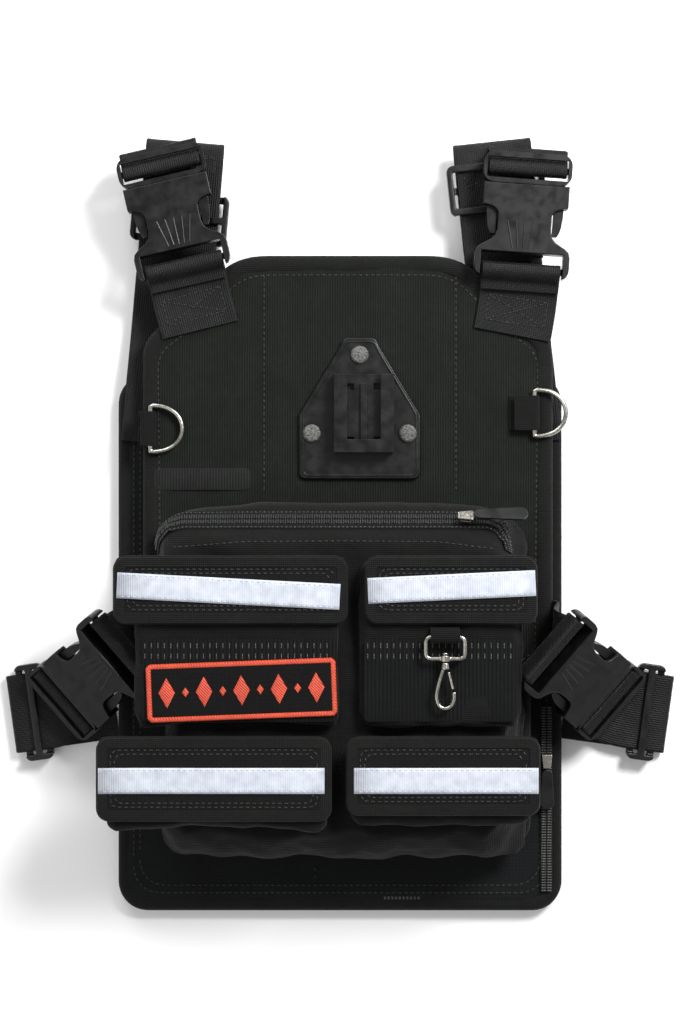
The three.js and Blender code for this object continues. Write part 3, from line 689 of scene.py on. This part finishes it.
def arch(mesh, low, high, drop=0.011, depth=0.045):
    """Draws the pouch's upper corners down, so that its top edge is an arch."""
    middle = (low.x + high.x) / 2
    half = (high.x - low.x) / 2
    for vertex in mesh.vertices:
        share = min(max((vertex.co.y - high.y + depth) / depth, 0), 1)
        vertex.co.y -= drop * share * min(abs((vertex.co.x - middle) / half), 1) ** 3


def pleats(mesh, low, high, pitch=21, depth=2.2):
    """Folds the pouch's right gusset and its foot, where the cloth gathers between the seams."""
    middle = (low + high) / 2
    for vertex in mesh.vertices:
        at = vertex.co * 1000
        drift = 5 * noise.noise(Vector((at.x / 60, at.y / 60, at.z / 25)))
        right = max(vertex.normal.x, 0) if vertex.co.x > middle.x else 0
        foot = max(-vertex.normal.y, 0) if vertex.co.y < middle.y else 0
        fold = (right * math.sin(math.tau * (at.y + drift) / pitch)
                + foot * math.sin(math.tau * (at.x + drift) / (pitch * 1.6)))
        vertex.co -= vertex.normal * depth * 0.0005 * (1 + fold) * max(right, foot)


def pouch():
    node = "pouch_body"
    low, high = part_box(node)
    mesh = swollen(node, 5, 4.5, 5, near_zip)
    arch(mesh, low, high)
    pleats(mesh, low, high)
    wrinkle(mesh, 30, 3.4, (1, 1, 0.6), near_zip)
    wrinkle(mesh, 9, 0.8, (1, 1, 1), near_zip)
    piece = pad_piece(node, "nylon", mesh)
    tree = surface_of(piece)
    top_edge = [(-104, 90), (-60, 93), (0, 94), (60, 93), (98, 88)]
    front_edge = [(-104, 62), (-60, 65.5), (0, 66), (60, 65.5), (96, 61)]
    lines = []
    for line in (top_edge, front_edge):
        spots = resample([mm(x, y, 0) for x, y in line], 4, closed=False)
        lines.append(laid(tree, spots))
    stitches("pouch_stitching", lines, "seam", RIG)
    zip_tape(tree)


def zip_tape(tree):
    """The main zip: cloth tape each side, and two rows of coil that mesh along the middle."""
    spots = laid(tree, resample([mm(x, y, 0) for x, y in ZIP_LINE], 2.5, closed=False), 0.0)
    stations = []
    for i, spot in enumerate(spots):
        along = (spots[min(i + 1, len(spots) - 1)] - spots[max(i - 1, 0)]).normalized()
        _, normal, _, _ = tree.ray_cast(Vector((spot.x, spot.y, ABOVE)), -UP)
        side = along.cross(normal).normalized()
        stations.append((spot, side, side.cross(along).normalized()))
    profile = [(-6.5, 0.1), (-6.5, 0.7), (-1.8, 0.9), (1.8, 0.9), (6.5, 0.7), (6.5, 0.1)]
    tape = show("main_zip_tape", sweep("main_zip_tape", stations, profile), "binding", RIG)
    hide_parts("main_zip_track")
    points = [at for at, _, _ in stations]
    even = resample(points, 1.5, closed=False)
    parts = []
    for i, spot in enumerate(even):
        nearest = min(range(len(points)), key=lambda k: (points[k] - spot).length_squared)
        side, up = stations[nearest][1:]
        for way in (-1, 1):
            at = spot + up * 0.0014
            parts.append([at + side * way * 0.0003, at + side * way * 0.0026])
    stitches("main_zip_coil", parts, "coil", RIG, 2.0, 0.2, 0.55)
    seams = []
    for way in (-1, 1):
        seams.append([at + side * way * 0.0055 + up * 0.0009 for at, side, up in stations])
    stitches("main_zip_seams", seams, "pale", RIG, 1.4, 1.3, 0.28)


def pockets():
    for side in ("upper_left", "upper_right", "lower_left", "lower_right"):
        node = "pocket_" + side
        mesh = swollen(node, 4, 3.5, 5)
        wrinkle(mesh, 22, 1.7)
        wrinkle(mesh, 8, 0.4)
        pad_piece(node, "nylon", mesh)


# ---------- flaps ----------
def flap_shape(seed):
    """How a flap's surface rises in soft ripples, which are its own for each seed."""
    def shape(x, y):
        slow = noise.noise(Vector((x / 38, y / 30, seed)))
        fine = noise.noise(Vector((x / 13, y / 17, seed + 5)))
        return RIPPLE * (0.5 + 0.5 * slow) + 0.35 * RIPPLE * (0.5 + 0.5 * fine)
    return shape


def flap(side, seed):
    node = "flap_" + side
    body = body_of(node)
    low, high = (corner * 1000 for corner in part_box(node))
    shape = flap_shape(seed)
    mesh = cloth_slab(node, (low.x, high.x), (low.y, high.y), (low.z, high.z), shape, 2.5, 6)
    mesh = modified(node, mesh, ("SUBSURF", {"levels": 1, "render_levels": 1}))
    piece = show(node + "_cover", mesh, "nylon", body, 180)
    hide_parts(node)
    middle = (low.z + high.z) / 2
    half = (high.z - low.z) / 2
    edge = resample(rounded(low.x, high.x, low.y, high.y - 1, 7.5, middle), 1.5)
    for point in edge:
        point.z += shape(point.x * 1000, point.y * 1000) * 0.001
    profile = [(-6.5, half - 0.3), (-6.2, half + 0.5), (-0.6, half + 0.4), (0.5, 0),
               (-0.6, -half - 0.2), (-6.2, -half - 0.2), (-6.5, -half + 0.3), (-1, 0)]
    mesh = sweep(node + "_binding", outward(edge), profile, closed=True)
    show(node + "_binding", mesh, "binding", body)
    tree = surface_of(piece)
    rows = []
    for inset in (8.5, 11):
        ring = rounded(low.x + inset, high.x - inset, low.y + inset, high.y - inset, 3)
        rows.append(laid(tree, resample(ring, 4)))
    stitches(node + "_stitching", rows, "seam", body)
    reflective(side, shape)


def reflective(side, shape):
    """A band of tape that follows its flap, sewn along both long edges."""
    node = "reflective_tape_" + side
    body = body_of(node)
    mesh = cad_mesh(node)
    work = bmesh.new()
    work.from_mesh(mesh)
    bmesh.ops.triangulate(work, faces=work.faces)
    bmesh.ops.subdivide_edges(work, edges=work.edges, cuts=5, use_grid_fill=True)
    work.to_mesh(mesh)
    work.free()
    for vertex in mesh.vertices:
        vertex.co.z += shape(vertex.co.x * 1000, vertex.co.y * 1000) * 0.001
    piece = show(node + "_band", mesh, "tape", body)
    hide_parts(node)
    tree = surface_of(piece)
    low, high = (corner * 1000 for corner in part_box(node))
    slope = {"upper_left": -3, "upper_right": 2.7}.get(side, 0)
    middle = (low + high) / 2
    run = (high.x - low.x) / 2 - TAPE_INSET
    turn = math.tan(math.radians(slope))
    lines = []
    for way in (-1, 1):
        y = middle.y + way * 6.7
        lines.append(laid(tree, straight(middle.x - run, y - run * turn,
                                         middle.x + run, y + run * turn), 0.1))
    stitches(node + "_stitching", lines, "tape", body, 2.2, 1.2, 0.3)


def flaps():
    for seed, side in enumerate(("upper_left", "upper_right", "lower_left", "lower_right")):
        flap(side, 1.3 + seed * 3.1)


# ---------- middle band, loop field and patch ----------
def loop_field():
    """The band between the flaps: the loop field, the mesh field beside it, and their stitches."""
    node = "loop_panel"
    low, high = (corner * 1000 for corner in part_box(node))
    mesh = cloth_slab(node, (low.x, high.x), (low.y, high.y), (low.z - 0.4, high.z), None, 2.5)
    piece = show("loop_field", mesh, "loop", RIG)
    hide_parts(node)
    pocket_low, pocket_high = (corner * 1000 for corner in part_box("pocket_upper_right"))
    right = (pocket_low.x + 3, pocket_high.x - 4)
    mesh = cloth_slab("mesh_field", right, (low.y, high.y), (low.z - 0.4, high.z), None, 2.5)
    show("mesh_field", mesh, "loop", RIG)
    top = high.z
    rows = []
    for y in (high.y - 2.5, high.y - 9):
        for left, end in ((low.x + 2, high.x - 2), (right[0] + 2, right[1] - 2)):
            rows += [[mm(x, y, top), mm(x, y - 2.6, top)]
                     for x in range(int(left), int(end), 4)]
    stitches("band_stitching", rows, "pale", RIG, 2.2, 0.2, 0.3)


def patch():
    """Dark twill with an orange overlocked edge and a row of plain lozenges."""
    node = "badge_patch"
    low, high = (corner * 1000 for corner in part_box(node))
    centre = (low + high) / 2
    turn = Matrix.Rotation(math.radians(2.2), 4, "Z")
    place = Matrix.Translation(mm(centre.x, centre.y, 0)) @ turn
    half_x = 58
    half_y = 17.5
    base = cloth_slab(node, (-half_x + 1, half_x - 1), (-half_y + 1, half_y - 1),
                      (low.z, high.z - 0.6), None, 2.5)
    base.transform(place)
    piece = show("badge_cloth", base, "twill", RIG)
    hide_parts(node)
    corners = [(-half_x + 2, -half_y), (half_x - 2, -half_y), (half_x, -half_y + 2),
               (half_x, half_y - 2), (half_x - 2, half_y), (-half_x + 2, half_y),
               (-half_x, half_y - 2), (-half_x, -half_y + 2)]
    edge = resample([mm(x, y, (low.z + high.z) / 2) for x, y in corners], 1.0)
    profile = [(1.6 * math.cos(math.tau * k / 8) - 1.2, 1.15 * math.sin(math.tau * k / 8))
               for k in range(8)]
    stations = []
    for i, (at, side, up) in enumerate(outward(edge)):
        swell = 1.0 + 0.05 * (i % 2)
        stations.append((at, side * swell, up * swell))
    border = sweep("badge_border", stations, profile, closed=True)
    border.transform(place)
    show("badge_border", border, "orange", RIG)
    lozenges(place, high.z - 0.6)


def lozenges(place, top):
    """Raised satin-stitch lozenges, with a small one between each pair."""
    points = []
    faces = []
    for k in range(9):
        x = (k - 4) * 11.5
        wide = 5.2 if k % 2 == 0 else 2.2
        tall = 9.5 if k % 2 == 0 else 3.2
        start = len(points)
        for size, z in ((1, top - 0.2), (0.96, top + 0.45), (0.7, top + 0.75)):
            for a, b in ((wide, 0), (0, tall), (-wide, 0), (0, -tall)):
                points.append(mm(x + a * size, b * size, z))
        for ring in range(2):
            for i in range(4):
                n = (i + 1) % 4
                base = start + ring * 4
                faces.append((base + i, base + n, base + 4 + n, base + 4 + i))
        faces.append(tuple(start + 8 + i for i in range(4)))
        faces.append(tuple(start + 3 - i for i in range(4)))
    mesh = mesh_from("badge_lozenges", points, faces)
    mesh.transform(place)
    show("badge_lozenges", mesh, "orange", RIG, 20)


# ---------- webbing ----------
def catmull(points, t):
    """A point on the centripetal curve through points, for t from 0 to 1."""
    place = (len(points) - 1) * t
    i = min(int(place), len(points) - 2)
    w = place - i
    b, c = points[i], points[i + 1]
    a = points[i - 1] if i else b * 2 - c
    d = points[i + 2] if i + 2 < len(points) else c * 2 - b
    gaps = [max((q - p).length, 1e-8) ** 0.5 for p, q in ((a, b), (b, c), (c, d))]
    out = ((b - a) / gaps[0] - (c - a) / (gaps[0] + gaps[1]) + (c - b) / gaps[1]) * gaps[1]
    into = ((c - b) / gaps[1] - (d - b) / (gaps[1] + gaps[2]) + (d - c) / gaps[2]) * gaps[1]
    return (b + out * w + (b * -3 + c * 3 - out * 2 - into) * w ** 2
            + (b * 2 - c * 2 + out + into) * w ** 3)


def web_stations(pairs, steps):
    """Stations along a strap through (point, across) pairs."""
    points = [at for at, _ in pairs]
    line = [catmull(points, i / steps) for i in range(steps + 1)]
    stations = []
    for i, at in enumerate(line):
        place = i / steps * (len(pairs) - 1)
        k = min(int(place), len(pairs) - 2)
        across = pairs[k][1].lerp(pairs[k + 1][1], place - k)
        along = (line[min(i + 1, steps)] - line[max(i - 1, 0)]).normalized()
        side = (across - along * across.dot(along)).normalized()
        stations.append((at, side, along.cross(side)))
    return stations


def web_profile(width=WEB_WIDTH, thick=WEB_THICK):
    """Webbing cut across: flat faces between rolled selvedges."""
    w = width / 2
    t = thick / 2
    upper = [(-w + 0.1, t * 0.5), (-w + 0.7, t), (-w + 2.4, t * 1.05), (-w + 3.2, t * 0.82),
             (0, t * 0.9), (w - 3.2, t * 0.82), (w - 2.4, t * 1.05), (w - 0.7, t),
             (w - 0.1, t * 0.5)]
    return upper + [(a, -b) for a, b in reversed(upper)]


def web(node, stations, body=None, width=WEB_WIDTH, thick=WEB_THICK, name=None):
    name = name or node + "_webbing"
    mesh = sweep(name, stations, web_profile(width, thick))
    return show(name, mesh, "webbing", body, 60)


def buckle_frame(x, y, z, turn, tilt):
    return (Matrix.Translation(mm(x, y, z)) @ Matrix.Rotation(math.radians(turn), 4, "Z")
            @ Matrix.Rotation(math.radians(-tilt), 4, "X"))


FRAMES = {
    "shoulder_left": buckle_frame(-98.9, 240.6, 33.5, 13, 0),
    "shoulder_right": buckle_frame(114.6, 237.4, 33.5, -4, 0),
    "side_left": buckle_frame(-136, -2, 60, 131, 36),
    "side_right": buckle_frame(132, -2, 60, -131, 36),
}


def across_of(place):
    return (place.to_3x3() @ Vector((1, 0, 0))).normalized()


def folded(place, path):
    return [(place @ mm(0, y, z), across_of(place)) for y, z in path]


def wrap_path(y, way):
    """Webbing over a bar at y, with the far end led off under it."""
    return [(y + way * 13, -2.4), (y + way * 7.6, -1.2), (y + way * 4.6, 2.2),
            (y + way * 2.4, 3.6), (y, 3.9), (y - way * 2.6, 3.2), (y - way * 3.7, 0),
            (y - way * 2.8, -3.2), (y, -4.6), (y + way * 5, -5.2), (y + way * 13, -5.6)]


def box_stitch(name, centre, across, along, up, body, half=(19, 8)):
    """A sewn box with a cross in it, on a strap's face."""
    corners = [(-1, -1), (1, -1), (1, 1), (-1, 1), (-1, -1), (1, 1)]
    spots = [centre + across * a * half[0] * 0.001 + along * b * half[1] * 0.001 + up * 0.0011
             for a, b in corners]
    other = [spots[1], spots[3]]
    stitches(name, [spots, other], "seam", body, 2.2, 1.2, 0.34)


def shoulder(name, low, high, tail, anchor_end):
    """A shoulder's two straps: the sewn anchor on the socket, and the strap through the plug."""
    place = FRAMES[name]
    plug_body = body_of("plug_" + name)
    panel_top = PANEL_TOP + GAP + WEB_THICK / 2
    sewn = [(mm(x, y, panel_top + 0.1), heading(angle)) for x, y, angle in anchor_end]
    stations = web_stations(folded(place, wrap_path(0, -1)) + sewn, 68)
    piece = web("anchor_strap_" + name, stations, RIG)
    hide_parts("anchor_strap_" + name)
    at, side, _ = stations[-9]
    box_stitch(name + "_anchor_stitching", at, side, side.cross(UP).normalized(), UP, RIG)

    rise = (mm(*high) - mm(*low)).normalized()
    across = Vector((rise.y, -rise.x, 0))

    def on_line(y, z):
        spot = mm(*low) + rise * ((y - low[1]) * 0.001 / rise.y)
        return Vector((spot.x, spot.y, z * 0.001)), across

    top = high[1]
    between = BACK_TOP + GAP + WEB_THICK / 2
    route = [on_line(128, between), on_line(168, between), on_line(178, 12.2), on_line(200, 10),
             on_line(280, 10), on_line(top - 9, 10), on_line(top - 3, 11),
             on_line(top - 1, 14.5), on_line(top - 3, 18), on_line(top - 9, 19),
             on_line(top - tail * 0.6, 19), on_line(top - tail, 19)]
    main = web("strap_" + name, web_stations(route, 100), plug_body)
    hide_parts("strap_" + name)
    sewn_end = place @ mm(0, PLUG_END + 7, 0)
    sewn_end.z = 0.0186
    loop = folded(place, wrap_path(PLUG_BAR, 1)[:-1])
    loop += [(place @ mm(0, PLUG_END + 3, -8), across_of(place)), (sewn_end, across_of(place))]
    web("loop_" + name, web_stations(loop, 60), plug_body)
    spot, _ = on_line(top - tail * 0.3, 19)
    box_stitch(name + "_strap_stitching", spot, across, rise, UP, plug_body, (20, 5))


def heading(degrees):
    turn = math.radians(degrees)
    return Vector((math.cos(turn), math.sin(turn), 0))


def side(name, way, x):
    """A side's two straps: the anchor on the pouch's flank, and the strap folded on the floor."""
    place = FRAMES[name]
    flank = FRONT_MIDDLE + way * (FRONT_HALF + GAP + WEB_THICK / 2 + 0.3)
    upright = Vector((0, -way, 0))
    wrap = [(9.2, -11), (5.6, -5), (4, 0), (2.6, 3.1), (0, 3.8), (-2.8, 2.9), (-3.6, 0),
            (-3.2, -4.5), (-1.2, -9)]
    route = folded(place, wrap)
    route += [(mm(x - way * 2, -1, 44), across_of(place)), (mm(flank + way * 1.5, 2, 34), upright),
              (mm(flank, 3, 24), upright), (mm(flank, 3, 15), upright)]
    piece = web("anchor_strap_" + name, web_stations(route, 80), RIG)
    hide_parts("anchor_strap_" + name)

    slope = 0.14
    across = Vector((-slope, -way, 0)).normalized()
    start = BACK_HALF + 4
    tip = 212

    def on_floor(reach, z):
        return mm(way * reach, -37.6 - (reach - start) * slope, z), across

    route = folded(place, wrap_path(PLUG_BAR, 1))
    route += [on_floor(tip - 25, 8.6), on_floor(tip - 15, 8.4), on_floor(tip - 5, 8.4),
              on_floor(tip - 1.4, 7.2), on_floor(tip - 0.4, 4.8), on_floor(tip - 1.4, 2.4),
              on_floor(tip - 6, 1.3), on_floor(180, 1.2), on_floor(start, 1.2)]
    strap = web("strap_" + name, web_stations(route, 128))
    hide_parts("strap_" + name)
    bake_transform(strap)


def straps():
    shoulder("shoulder_left", (-112, 171, 0), (-99, 322, 0), 48,
             [(-94.5, 221, 13), (-91, 208, 17), (-89, 200, 20)])
    shoulder("shoulder_right", (113, 171, 0), (97, 322, 0), 78,
             [(113, 218, -6), (111, 205, -10), (109.5, 197, -14)])
    side("side_left", -1, -136)
    side("side_right", 1, 132)


# ---------- hardware ----------
def buckle_trim(name):
    """Raised ribs on a socket, which narrow towards its webbing bar."""
    place = FRAMES[name]
    ribs = []
    for x in (-9, -4.5, 0, 4.5, 9):
        ribs.append([place @ mm(x * 1.2, 30, 6), place @ mm(x * 0.75, 13, 6)])
    stations = []
    for line in ribs:
        along = (line[1] - line[0]).normalized()
        normal = (place.to_3x3() @ UP).normalized()
        stations.append([(spot, along.cross(normal), normal)
                         for spot in resample(line, 2, closed=False)])
    profile = [(-0.9, -0.3), (-0.5, 0.15), (0, 0.28), (0.5, 0.15), (0.9, -0.3)]
    for i, line in enumerate(stations):
        mesh = sweep(f"socket_{name}_rib_{i}", line, profile)
        show(f"socket_{name}_rib_{i}", mesh, "plastic", RIG)


def hardware():
    for name in FRAMES:
        bevelled("socket_" + name, "plastic", 1.0, 3)
        bevelled("plug_" + name, "plastic", 0.7, 3)
        polished("tri_glide_" + name, "plastic", 0.5, 4)
        buckle_trim(name)
    bevelled("dock_plate", "plastic", 0.9, 3)
    bevelled("dock_receiver", "plastic", 0.5, 3)
    for k in (1, 2, 3):
        polished(f"dock_rivet_{k}", "rivet", 0.35, 3)
    for node in ("d_ring_left", "d_ring_right", "hook_loop", "hook_body"):
        polished(node, "nickel")
    polished("hook_gate", "nickel", 0.25, 3)
    for node in ("main_zip_slider", "back_zip_slider"):
        bevelled(node, "nickel", 0.5, 2)
    for node in ("main_zip_puller", "back_zip_puller"):
        bevelled(node, "plastic", 0.5, 3)
    for node in ("d_ring_tab_left", "d_ring_tab_right", "hook_tab"):
        bevelled(node, "nylon", 0.4, 2)


def dock_rim():
    """A raised bead just inside the dock plate's edge."""
    low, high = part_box("dock_plate")
    centre = (low + high) / 2
    spots = {}
    for vertex in cad_mesh("dock_plate").vertices:
        if abs(vertex.co.z - high.z) < 1e-4:
            angle = math.atan2(vertex.co.y - centre.y, vertex.co.x - centre.x)
            spots[angle] = vertex.co.copy()
    ring = [spots[a] + (centre - spots[a]).normalized() * 0.0028 for a in sorted(spots)]
    for point in ring:
        point.z = high.z
    profile = [(-0.9, -0.3), (-0.6, 0.4), (0, 0.6), (0.6, 0.4), (0.9, -0.3)]
    mesh = sweep("dock_plate_bead", outward(resample(ring, 2)), profile, closed=True)
    show("dock_plate_bead", mesh, "plastic", RIG)


def back_zip():
    """The zip beside the pouch on the back panel: tape and paler teeth."""
    low, high = (corner * 1000 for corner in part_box("back_zip_track"))
    mesh = cloth_slab("back_zip_tape", (low.x, high.x), (low.y, high.y), (low.z - 0.2, high.z),
                      None, 2)
    tape = show("back_zip_tape", mesh, "binding", RIG)
    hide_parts("back_zip_track")
    middle = (low.x + high.x) / 2
    rows = []
    for step in range(int((high.y - low.y) / 1.7)):
        y = low.y + 1 + step * 1.7
        for way in (-1, 1):
            rows.append([mm(middle + way * 0.3, y, high.z), mm(middle + way * 2.6, y, high.z)])
    stitches("back_zip_coil", rows, "pale", RIG, 2.0, 0.2, 0.5)


# ---------- stage ----------
def light(name, at, size, power):
    lamp = bpy.data.lights.new(name, "AREA")
    lamp.size = size
    lamp.energy = power
    holder = bpy.data.objects.new(name, lamp)
    holder.location = at
    holder.rotation_euler = (Vector((0, 0.05, 0)) - Vector(at)).to_track_quat("-Z", "Y").to_euler()
    bpy.context.scene.collection.objects.link(holder)


def stage():
    mesh = mesh_from("floor", [(-4, -4, 0), (4, -4, 0), (4, 4, 0), (-4, 4, 0)], [(0, 1, 2, 3)])
    floor = bpy.data.objects.new("floor", mesh)
    bpy.context.scene.collection.objects.link(floor)
    look = Look("floor", 0.9)
    look.colour(look.noise(0.4), (0.88, 0.88, 0.88), (0.91, 0.91, 0.91))
    mesh.materials.append(look.material)
    light("key", (0.75, 0.85, 1.1), 0.5, 34)
    light("fill", (-1.0, -0.5, 1.3), 1.4, 7)
    light("rim", (-0.5, 1.3, 0.7), 0.8, 12)
    world = bpy.data.worlds.new("studio")
    world.use_nodes = True
    world.node_tree.nodes["Background"].inputs["Color"].default_value = (1, 1, 1, 1)
    world.node_tree.nodes["Background"].inputs["Strength"].default_value = 0.42
    bpy.context.scene.world = world
    bpy.context.scene.view_settings.view_transform = "Standard"


def camera():
    lens = bpy.data.cameras.new("camera")
    lens.sensor_fit = "VERTICAL"
    lens.sensor_height = 24
    lens.lens = 57.9
    holder = bpy.data.objects.new("camera", lens)
    holder.location = (0.0006, 0.084, 1.6)
    bpy.context.scene.collection.objects.link(holder)
    bpy.context.scene.camera = holder


camera()
stage()
back_panel()
front_panel()
pouch()
pockets()
flaps()
loop_field()
patch()
straps()
hardware()
dock_rim()
back_zip()
